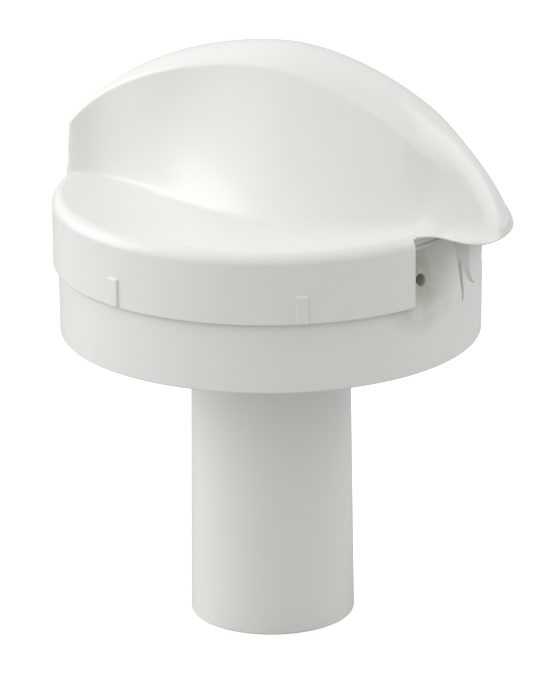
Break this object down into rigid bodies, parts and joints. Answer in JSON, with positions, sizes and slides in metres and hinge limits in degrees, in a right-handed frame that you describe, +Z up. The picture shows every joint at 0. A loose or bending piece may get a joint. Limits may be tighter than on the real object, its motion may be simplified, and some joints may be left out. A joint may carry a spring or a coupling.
{
  "type": "deck fill cap",
  "caption": "Vented deck fill cap: a turning, lift-off cover with a swept grip fin, on a fixed round cup with a plain hose tail.",
  "frame": {"origin": "on the cap's turning axis, at the whole fitting's centre of volume, 9.5 mm above the plane of the cup's underside, where it sits on the deck", "axes": "+Z up out of the deck along the turning axis; +X along the grip fin towards its beak, with the cap at rest"},
  "size_m": [0.1086, 0.101, 0.1389],
  "materials": {
    "white_plastic": "gloss",
    "inner_plastic": "matt",
    "seal_rubber": "matt",
    "stainless": "satin"
  },
  "bodies": {
    "base": {"base_cup": "white_plastic", "deck_gasket": "seal_rubber", "vent_screen": "stainless", "hose_tail": "white_plastic", "tail_gasket": "seal_rubber", "tail_screw_1": "stainless", "tail_screw_2": "stainless", "tail_screw_3": "stainless", "tail_screw_4": "stainless"},
    "plug": {"seal_plug": "inner_plastic", "plug_o_ring_upper": "seal_rubber", "plug_o_ring_lower": "seal_rubber", "thrust_washer": "inner_plastic", "plug_circlip": "stainless", "valve_seat": "inner_plastic", "valve_spring": "stainless"},
    "cap": {"cap_shell": "white_plastic", "lip_gasket": "seal_rubber", "cap_liner": "inner_plastic", "liner_screw_1": "stainless", "liner_screw_2": "stainless", "liner_screw_3": "stainless", "liner_screw_4": "stainless"},
    "valve": {"valve_poppet": "inner_plastic", "poppet_seal": "seal_rubber"}
  },
  "joints": [
    {"name": "cap_lift", "type": "slide", "parent": "base", "child": "plug", "axis": [0, 0, 1], "range_m": [0, 0.03]},
    {"name": "cap_turn", "type": "hinge", "parent": "plug", "child": "cap", "pos_m": [0, 0, 0.0248], "axis": [0, 0, 1], "range_deg": [-19, 22]},
    {"name": "valve_lift", "type": "slide", "parent": "plug", "child": "valve", "axis": [0, 0, 1], "range_m": [0, 0.003], "stiffness_N_per_m": 200, "springref_m": -0.002, "deforming": ["valve_spring"]}
  ]
}
